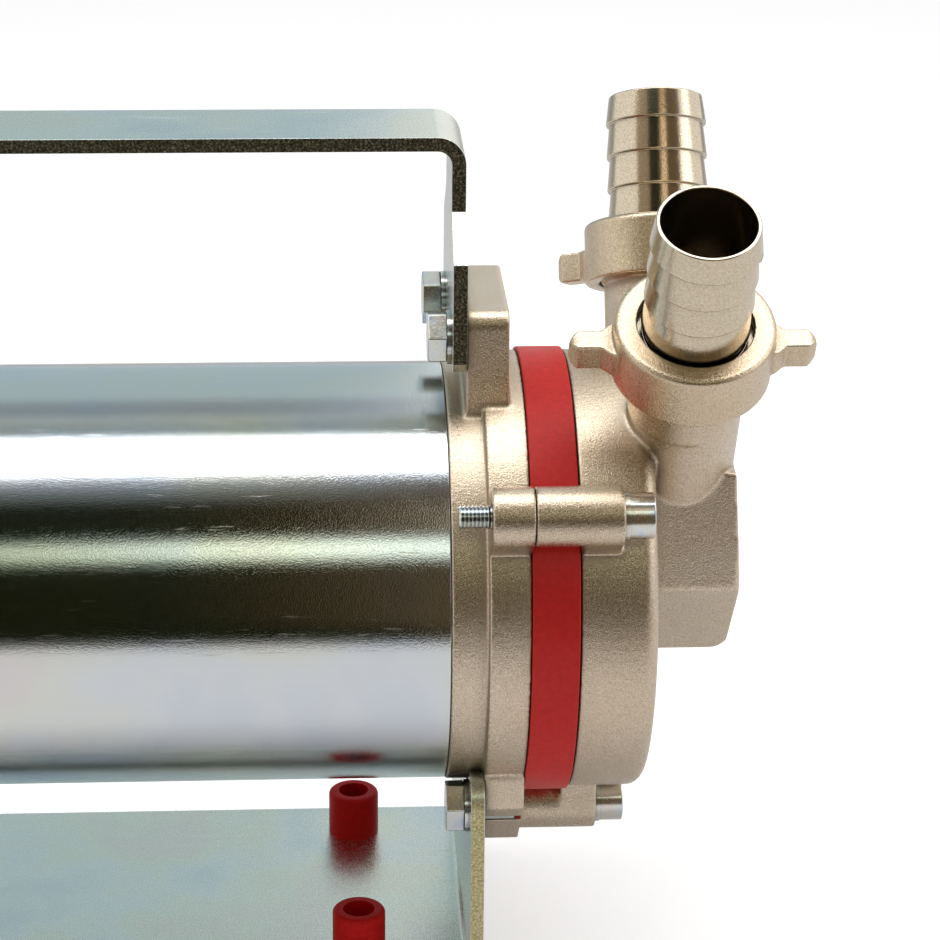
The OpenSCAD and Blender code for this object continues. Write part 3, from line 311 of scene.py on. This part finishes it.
# bright plating with cloudy tints
plating, given, result = start_group("zinc_bloom", {"Cloud Size": 24.0, "Tint": 0.5},
                                     {"Color": "Color", "Cloud": "Float"})
here = add(plating, "TexCoord").outputs["Object"]
slow = add(plating, "TexNoise", {"Vector": here, "Scale": given["Cloud Size"], "Detail": 3.0,
                                 "Roughness": 0.5}).outputs[0]
tints = ramp(plating, slow, [(0.30, (0.56, 0.64, 0.74)), (0.45, (0.70, 0.73, 0.76)),
                             (0.56, (0.73, 0.74, 0.66)), (0.66, (0.74, 0.68, 0.66))])
plating.links.new(mix(plating, given["Tint"], (0.68, 0.71, 0.74), tints), result["Color"])
fine = add(plating, "TexNoise", {"Vector": here, "Scale": 2900.0, "Detail": 2.0,
                                 "Roughness": 0.7}).outputs[0]
plating.links.new(spread(plating, fine, 0.35, 0.7), result["Cloud"])

# fine lines in three directions
lines, given, result = start_group("hairlines", {"Fineness": 900.0, "Amount": 0.5}, {"Mask": "Float"})
here = add(lines, "TexCoord").outputs["Object"]
total = None
for turn, seed in (((0.0, 0.3, 0.5), 0.0), ((0.2, -0.4, -0.7), 3.1), ((0.5, 0.1, 0.12), 7.7)):
    placed = add(lines, "Mapping", {"Vector": here, "Rotation": turn, "Location": (seed, seed, 0.0),
                                    "Scale": (0.08, 1.0, 1.0)}).outputs[0]
    thin = add(lines, "TexNoise", {"Vector": placed, "Scale": given["Fineness"],
                                   "Detail": 1.0}).outputs[0]
    thin = spread(lines, thin, 0.68, 0.74)
    patch = add(lines, "TexNoise", {"Vector": here, "Scale": 45.0 + 9 * seed, "Detail": 2.0}).outputs[0]
    line = calc(lines, "MULTIPLY", thin, spread(lines, patch, 0.5, 0.62))
    total = line if total is None else calc(lines, "MAXIMUM", total, line)
lines.links.new(calc(lines, "MULTIPLY", total, given["Amount"]), result["Mask"])

# worn edges: where the surface turns within Reach, broken up by a fine grain
edges, given, result = start_group("edge_wear", {"Reach": 0.0006, "Amount": 1.0}, {"Mask": "Float"})
here = add(edges, "TexCoord").outputs["Object"]
rounded = add(edges, "Bevel", {"Radius": given["Reach"]}, samples=4).outputs[0]
flat = add(edges, "NewGeometry").outputs["Normal"]
turn = add(edges, "VectorMath", {0: rounded, 1: flat}, operation="DOT_PRODUCT").outputs["Value"]
turned_away = spread(edges, calc(edges, "SUBTRACT", 1.0, turn), 0.01, 0.12)
grain = add(edges, "TexNoise", {"Vector": here, "Scale": 700.0, "Detail": 3.0}).outputs[0]
worn = calc(edges, "MULTIPLY", turned_away, spread(edges, grain, 0.35, 0.6, 0.35, 1.0))
edges.links.new(calc(edges, "MULTIPLY", worn, given["Amount"], True), result["Mask"])

# dark seams and painted shade: how closed in a place is within Reach; the mask darkens dirty joints and
# also paints shade into every corner and recess
seams_and_shade, given, result = start_group("seam_grime_and_shade", {"Reach": 0.002, "Amount": 1.0}, {"Mask": "Float"})
closed = add(seams_and_shade, "AmbientOcclusion", {"Distance": given["Reach"]}, samples=4).outputs["AO"]
closed = spread(seams_and_shade, closed, 0.35, 0.85, 1.0, 0.0)
seams_and_shade.links.new(calc(seams_and_shade, "MULTIPLY", closed, given["Amount"], True), result["Mask"])

zinc_tube, tree, shader = start_material("zinc_plated_tube", 1.0, 0.2)
bloom = use(tree, plating, **{"Cloud Size": 22.0, "Tint": 0.7})
scratched = use(tree, lines, Fineness=1100.0, Amount=0.6)["Mask"]
grime_and_shade = use(tree, seams_and_shade, Reach=0.0015, Amount=0.8)["Mask"]
metal = mix(tree, calc(tree, "MULTIPLY", scratched, 0.4), bloom["Color"], (0.80, 0.80, 0.74))
# near-black where the tube is closed in: dirt in the joint and painted shade in the recesses
tree.links.new(mix(tree, grime_and_shade, metal, (0.10, 0.10, 0.09)), shader.inputs["Base Color"])
dull = calc(tree, "ADD", spread(tree, bloom["Cloud"], 0.0, 1.0, 0.07, 0.14),
            calc(tree, "MULTIPLY", scratched, 0.2))
tree.links.new(dull, shader.inputs["Roughness"])
surface = calc(tree, "SUBTRACT", calc(tree, "MULTIPLY", bloom["Cloud"], 0.9), scratched)
relief(tree, shader, surface, 0.000009)
coat(zinc_tube, "motor_tube")
ease("motor_tube")


# Inside of the motor: two ferrite arcs, a stack of steel sheets wound with
# enamelled copper wire, its commutator, two ball bearings and the shaft.
# They are closed in by the tube and the castings, so they stay as the CAD has them.
def grained(name, colour, metallic, roughness, size, share, depth=0.0):
    """A material whose colour and roughness vary with a fine grain of the size given in metres."""
    material, tree, shader = start_material(name, metallic, roughness)
    here = add(tree, "TexCoord").outputs["Object"]
    grain = add(tree, "TexNoise", {"Vector": here, "Scale": 1.0 / size, "Detail": 4.0}).outputs[0]
    dark = tuple(c * (1 - share) for c in colour)
    light = tuple(min(1.0, c * (1 + share)) for c in colour)
    base = ramp(tree, grain, [(0.3, dark), (0.7, light)])
    worn = use(tree, edges, Reach=0.0005, Amount=0.5)["Mask"]
    tree.links.new(mix(tree, worn, base, light), shader.inputs["Base Color"])
    rough = spread(tree, grain, 0.3, 0.7, max(0.05, roughness - 0.08), min(1.0, roughness + 0.08))
    tree.links.new(rough, shader.inputs["Roughness"])
    if depth:
        relief(tree, shader, grain, depth)
    return material


coat(grained("ferrite_magnet", (0.07, 0.07, 0.075), 0.1, 0.55, 0.0008, 0.3, 0.00003), "field_magnets")
coat(grained("core_sheets", (0.30, 0.31, 0.33), 0.9, 0.4, 0.0006, 0.2, 0.00001), "armature_core")
coat(grained("enamelled_copper", (0.55, 0.22, 0.08), 0.7, 0.35, 0.0009, 0.25, 0.00003),
     "armature_windings")
coat(grained("commutator_copper", (0.72, 0.38, 0.20), 1.0, 0.28, 0.0007, 0.15), "commutator")
coat(grained("bearing_steel", (0.58, 0.59, 0.61), 1.0, 0.18, 0.0010, 0.08),
     "rear_bearing_outer_ring", "rear_bearing_balls", "rear_bearing_inner_ring",
     "front_bearing_outer_ring", "front_bearing_balls", "front_bearing_inner_ring",
     "shaft", "impeller_key")
coat(grained("tie_bolt_steel", (0.60, 0.61, 0.60), 1.0, 0.32, 0.0009, 0.12),
     "through_bolts", "brush_plate_screws")


# Brush gear: a resin plate in the rear cap with two brass boxes.
# Each box guides a carbon brush that a coil spring presses to the commutator.
coat(grained("phenolic_resin", (0.20, 0.09, 0.035), 0.0, 0.5, 0.0012, 0.3, 0.00003), "brush_plate")
coat(grained("sheet_brass", (0.72, 0.52, 0.22), 1.0, 0.3, 0.0010, 0.1), "brush_holders")
coat(grained("brush_carbon", (0.035, 0.035, 0.038), 0.2, 0.6, 0.0005, 0.35, 0.00002),
     "near_brush", "far_brush")
coat(grained("spring_wire", (0.60, 0.58, 0.52), 1.0, 0.3, 0.0008, 0.1),
     "near_brush_spring", "far_brush_spring")


# Rear cap: a die-cast aluminium cap that carries the rear bearing and the brush gear.
# Its skin is a little matt and shows the fine grain of the blasted mould.
cast_skin, given, result = start_group("sand_skin", {"Grain": 1400.0, "Depth": 1.0},
                                       {"Height": "Float", "Shade": "Float", "Patch": "Float"})
here = add(cast_skin, "TexCoord").outputs["Object"]
small = add(cast_skin, "TexNoise", {"Vector": here, "Scale": given["Grain"], "Detail": 2.0,
                                    "Roughness": 0.7}).outputs[0]
wider_grain = calc(cast_skin, "MULTIPLY", given["Grain"], 0.42)
coarse = add(cast_skin, "TexNoise", {"Vector": here, "Scale": wider_grain, "Detail": 2.0}).outputs[0]
bumps = calc(cast_skin, "ADD", calc(cast_skin, "MULTIPLY", small, 0.6),
             calc(cast_skin, "MULTIPLY", coarse, 0.35))
cast_skin.links.new(calc(cast_skin, "MULTIPLY", bumps, given["Depth"]), result["Height"])
cast_skin.links.new(spread(cast_skin, small, 0.25, 0.75), result["Shade"])
wide = add(cast_skin, "TexNoise", {"Vector": here, "Scale": 55.0, "Detail": 2.0}).outputs[0]
cast_skin.links.new(spread(cast_skin, wide, 0.35, 0.65), result["Patch"])

alloy, tree, shader = start_material("die_cast_aluminium", 1.0, 0.42)
skin = use(tree, cast_skin, Grain=1500.0, Depth=1.0)
worn = use(tree, edges, Reach=0.0008, Amount=0.6)["Mask"]
grime_and_shade = use(tree, seams_and_shade, Reach=0.002, Amount=0.7)["Mask"]
tone = ramp(tree, skin["Shade"], [(0.0, (0.50, 0.50, 0.51)), (1.0, (0.68, 0.68, 0.69))])
tone = mix(tree, worn, tone, (0.82, 0.82, 0.82))
# dark grey where the cap is closed in: dirt in the joints and painted shade in corners and recesses
tree.links.new(mix(tree, grime_and_shade, tone, (0.12, 0.11, 0.10)), shader.inputs["Base Color"])
tree.links.new(spread(tree, skin["Patch"], 0.0, 1.0, 0.36, 0.48), shader.inputs["Roughness"])
relief(tree, shader, skin["Height"], 0.00012)
coat(alloy, "rear_end_cap")
ease("rear_end_cap", 0.0004)


# Cable gland: a nickel-plated brass gland with a rubber sleeve in its cap nut.
# The hexagons are turned from bar, so their faces are smooth and their corners bright.
gland_plate, tree, shader = start_material("plated_gland", 1.0, 0.22)
bloom = use(tree, plating, **{"Cloud Size": 60.0, "Tint": 0.1})
worn = use(tree, edges, Reach=0.0005, Amount=0.6)["Mask"]
tone = mix(tree, 0.6, bloom["Color"], (0.70, 0.64, 0.54))
tree.links.new(mix(tree, worn, tone, (0.88, 0.84, 0.76)), shader.inputs["Base Color"])
tree.links.new(spread(tree, bloom["Cloud"], 0.0, 1.0, 0.16, 0.28), shader.inputs["Roughness"])
coat(gland_plate, "cable_gland", "cable_gland_nut")
ease("cable_gland")
ease("cable_gland_nut")
coat(grained("seal_rubber", (0.025, 0.025, 0.025), 0.0, 0.6, 0.0010, 0.3, 0.00003),
     "cable_gland_seal", "shaft_seal", "body_seal_ring", "port_gaskets")


# Pump body: a sand-cast brass disc, nickel-plated, bolted to the front of the tube.
# The plating keeps the grain of the sand, and every corner is soft.
casting_voxel = 0.00045
casting_rounds = 4


def cast_copy(node, name, voxel, rounds, body, matrix=None):
    """A casting in place of a CAD node: the same solid with its corners run soft."""
    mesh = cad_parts[node].data.copy()
    matrix = matrix or Matrix.Identity(4)
    mesh.transform(matrix.inverted())
    piece = bpy.data.objects.new(name, mesh)
    scene.collection.objects.link(piece)
    melt = piece.modifiers.new("melt", "REMESH")
    melt.mode = "VOXEL"
    melt.voxel_size = voxel
    melt.use_smooth_shade = True
    soft = piece.modifiers.new("soft", "SMOOTH")
    soft.factor = 0.5
    soft.iterations = rounds
    bpy.context.view_layer.update()
    ready = bpy.data.meshes.new_from_object(piece.evaluated_get(bpy.context.evaluated_depsgraph_get()))
    piece.modifiers.clear()
    piece.data = ready
    ready.materials.clear()
    for face in ready.polygons:
        face.use_smooth = True
    piece.matrix_world = matrix
    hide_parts(node)
    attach(piece, body)
    return piece


def nickel_look(name, grain, depth, warm, roughness):
    """Nickel plating over a cast skin: champagne on the grains, brown in the hollows between them,
    partly the brass under the plating and partly painted shade.
    """
    material, tree, shader = start_material(name, 1.0, roughness)
    skin = use(tree, cast_skin, Grain=grain, Depth=1.0)
    worn = use(tree, edges, Reach=0.0009, Amount=0.55)["Mask"]
    grime_and_shade = use(tree, seams_and_shade, Reach=0.0035, Amount=0.9)["Mask"]
    light = (0.86 + 0.02 * warm, 0.76, 0.63 - 0.04 * warm)
    dark = (0.46 + 0.03 * warm, 0.345, 0.225 - 0.03 * warm)
    middle = tuple(0.5 * a + 0.5 * b for a, b in zip(light, dark))
    # the tone follows the grain height, so the hollows get the dark brown: partly the brass under the
    # plating, partly painted shade in the hollows
    tone = ramp(tree, skin["Shade"], [(0.0, dark), (0.5, middle), (1.0, light)])
    tone = mix(tree, spread(tree, skin["Patch"], 0.0, 1.0, 0.0, 0.25), tone, (0.55, 0.42, 0.27))
    tone = mix(tree, worn, tone, (0.88, 0.80, 0.66))
    # dark brown where the casting is closed in: dirt in the joints and painted shade in corners and
    # recesses
    tree.links.new(mix(tree, grime_and_shade, tone, (0.10, 0.085, 0.065)), shader.inputs["Base Color"])
    rough = calc(tree, "ADD", spread(tree, skin["Shade"], 0.0, 1.0, roughness + 0.08, roughness - 0.04),
                 calc(tree, "MULTIPLY", grime_and_shade, 0.3))
    tree.links.new(rough, shader.inputs["Roughness"])
    relief(tree, shader, skin["Height"], depth)
    return material


nickel = nickel_look("nickel_on_casting", 3600.0, 0.00014, 0.0, 0.25)
body_casting = cast_copy("pump_body", "pump_body_casting", casting_voxel, casting_rounds, "root")
body_casting.data.materials.append(nickel)


# Impeller: a brass disc with open blades on both faces, keyed to the shaft.
# It turns in the narrow chamber behind the cover, out of sight.
coat(grained("impeller_brass", (0.74, 0.55, 0.26), 1.0, 0.3, 0.0010, 0.12, 0.00001), "impeller")


# Red band: a moulded ring of red plastic that covers the joint of the pump.
# It is matt with a fine moulded grain, and its edges are a little paler.
band_red, tree, shader = start_material("red_plastic_band", 0.0, 0.45)
skin = use(tree, cast_skin, Grain=900.0, Depth=1.0)
worn = use(tree, edges, Reach=0.0005, Amount=0.5)["Mask"]
grime_and_shade = use(tree, seams_and_shade, Reach=0.0012, Amount=0.35)["Mask"]
shader.inputs["Specular IOR Level"].default_value = 0.35
tone = ramp(tree, skin["Shade"], [(0.0, (0.54, 0.004, 0.002)), (1.0, (0.68, 0.012, 0.006))])
tone = mix(tree, worn, tone, (0.72, 0.05, 0.035))
# near-black red where the band is closed in: dirt in the joint and painted shade in the gaps beside it
tree.links.new(mix(tree, grime_and_shade, tone, (0.10, 0.002, 0.002)), shader.inputs["Base Color"])
tree.links.new(spread(tree, skin["Patch"], 0.0, 1.0, 0.40, 0.52), shader.inputs["Roughness"])
relief(tree, shader, skin["Height"], 0.00004)
coat(band_red, "red_band")
ease("red_band")


# Pump cover: the second casting, with the block and the two necks of the ports.
# It is plated like the body, and the necks grow out of it in soft fillets.
cover_casting = cast_copy("pump_cover", "pump_cover_casting", casting_voxel, casting_rounds, "root")
cover_casting.data.materials.append(nickel)


# Body screws: three zinc-plated socket head screws with washers.
# They run through the bosses of the cover, and their ends stand out behind the body.
bright_zinc, tree, shader = start_material("bright_zinc_fastener", 1.0, 0.2)
bloom = use(tree, plating, **{"Cloud Size": 220.0, "Tint": 1.0})
worn = use(tree, edges, Reach=0.0004, Amount=0.7)["Mask"]
grime_and_shade = use(tree, seams_and_shade, Reach=0.0012, Amount=0.8)["Mask"]
tone = mix(tree, worn, bloom["Color"], (0.88, 0.90, 0.90))
# near-black where the fastener is closed in: dirt in the joints and painted shade under heads and
# washers
tree.links.new(mix(tree, grime_and_shade, tone, (0.05, 0.06, 0.05)), shader.inputs["Base Color"])
tree.links.new(spread(tree, bloom["Cloud"], 0.0, 1.0, 0.14, 0.28), shader.inputs["Roughness"])
coat(bright_zinc, "body_screws", "body_screw_washers")


# Hose tails: turned from brass bar and nickel-plated, with saw-tooth barbs.
# The plating is polished bright over a fine grain; the turning marks of the real tail are not drawn.
turned_nickel, tree, shader = start_material("turned_nickel", 1.0, 0.2)
skin = use(tree, cast_skin, Grain=2600.0, Depth=1.0)
worn = use(tree, edges, Reach=0.0004, Amount=0.6)["Mask"]
grime_and_shade = use(tree, seams_and_shade, Reach=0.002, Amount=1.0)["Mask"]
tone = ramp(tree, skin["Shade"], [(0.0, (0.52, 0.42, 0.29)), (1.0, (0.80, 0.71, 0.56))])
tone = mix(tree, worn, tone, (0.92, 0.88, 0.80))
# near-black where the tail is closed in: dirt in the joints and painted shade between the barbs and
# under the nut
tree.links.new(mix(tree, grime_and_shade, tone, (0.03, 0.025, 0.02)), shader.inputs["Base Color"])
tree.links.new(spread(tree, skin["Shade"], 0.0, 1.0, 0.20, 0.10), shader.inputs["Roughness"])
relief(tree, shader, skin["Height"], 0.00003)
coat(turned_nickel, "near_hose_tail", "far_hose_tail")
ease("near_hose_tail")
ease("far_hose_tail")


# Wing nuts: cast brass nuts with two wings, nickel-plated over a coarser skin.
# Each one holds the collar of a hose tail down on the threaded stub of its port.
port_x = 119.6 * mm
port_z = 94.5 * mm
port_lean = math.radians(28)
nut_voxel = 0.00027
nut_rounds = 2
nut_nickel = nickel_look("nickel_on_nut", 3400.0, 0.00014, 0.7, 0.24)
for side, name in ((1, "near"), (-1, "far")):
    place = Matrix.Translation((port_x, 0, port_z)) @ Matrix.Rotation(side * port_lean, 4, "X")
    nut = cast_copy(name + "_wing_nut", name + "_wing_nut_casting", nut_voxel, nut_rounds,
                    name + "_nut", place)
    nut.data.materials.append(nut_nickel)


# Carry handle: a 3 mm zinc-plated steel strip, bent over the motor.
# Its feet are bolted to the upper lugs, and its sheared edges are darker: partly their own dull steel
# and partly a painted reflection of the dark end of the room.
def strip_look(name, edge_colours):
    """Zinc-plated steel strip: bright faces with faint tints, and sheared edges in the colours given."""
    strip, tree, shader = start_material(name, 1.0, 0.26)
    bloom = use(tree, plating, **{"Cloud Size": 38.0, "Tint": 0.9})
    scratched = use(tree, lines, Fineness=700.0, Amount=0.5)["Mask"]
    worn = use(tree, edges, Reach=0.0004, Amount=0.5)["Mask"]
    tone = mix(tree, 0.35, bloom["Color"], (0.72, 0.80, 0.66))
    tone = mix(tree, worn, tone, (0.88, 0.90, 0.82))
    sideways = add(tree, "SeparateXYZ", {0: add(tree, "NewGeometry").outputs["Normal"]}).outputs["Y"]
    sheared = spread(tree, calc(tree, "ABSOLUTE", sideways), 0.80, 0.95)
    here = add(tree, "TexCoord").outputs["Object"]
    torn = add(tree, "TexNoise", {"Vector": here, "Scale": 1900.0, "Detail": 2.0,
                                  "Roughness": 0.7}).outputs[0]
    edge_tone = ramp(tree, torn, list(zip((0.35, 0.55, 0.72), edge_colours)))
    tree.links.new(mix(tree, sheared, tone, edge_tone), shader.inputs["Base Color"])
    dull = calc(tree, "ADD", spread(tree, bloom["Cloud"], 0.0, 1.0, 0.20, 0.34),
                calc(tree, "MULTIPLY", scratched, 0.2))
    dull = calc(tree, "ADD", dull, calc(tree, "MULTIPLY", sheared, 0.25))
    tree.links.new(dull, shader.inputs["Roughness"])
    bumps = calc(tree, "MULTIPLY", calc(tree, "MULTIPLY", torn, sheared), 12.0)
    relief(tree, shader, calc(tree, "ADD", bloom["Cloud"], bumps), 0.00001)
    return strip


# the near-black olive edge colours paint the reflection of the dark end of the room onto the sheared
# edges, over their own dull steel
strip_zinc = strip_look("zinc_plated_strip",
                        ((0.035, 0.032, 0.020), (0.13, 0.12, 0.08), (0.42, 0.38, 0.27)))
coat(strip_zinc, "carry_handle")
ease("carry_handle", 0.00035)
coat(bright_zinc, "handle_bolts", "handle_washers")
ease("handle_bolts")


# Base: one zinc-plated steel sheet, folded up at both ends and bolted to the lower lugs.
# The upright ends are hollowed to the round of the castings.
base_zinc = strip_look("zinc_plated_sheet",
                       ((0.40, 0.34, 0.17), (0.66, 0.59, 0.34), (0.86, 0.82, 0.58)))
coat(base_zinc, "base_plate")
ease("base_plate")
coat(bright_zinc, "base_bolts", "base_washers")
ease("base_bolts")


# Feet: four hollow feet of red rubber that snap into the base sheet.
# Bench bolts go through them, so each one is open from end to end.
foot_red, tree, shader = start_material("red_rubber_foot", 0.0, 0.5)
skin = use(tree, cast_skin, Grain=1000.0, Depth=1.0)
worn = use(tree, edges, Reach=0.0008, Amount=0.4)["Mask"]
shader.inputs["Specular IOR Level"].default_value = 0.14
tone = ramp(tree, skin["Shade"], [(0.0, (0.48, 0.003, 0.003)), (1.0, (0.64, 0.007, 0.005))])
tree.links.new(mix(tree, worn, tone, (0.72, 0.06, 0.05)), shader.inputs["Base Color"])
tree.links.new(spread(tree, skin["Patch"], 0.0, 1.0, 0.42, 0.55), shader.inputs["Roughness"])
relief(tree, shader, skin["Height"], 0.00004)
coat(foot_red, "rubber_feet")
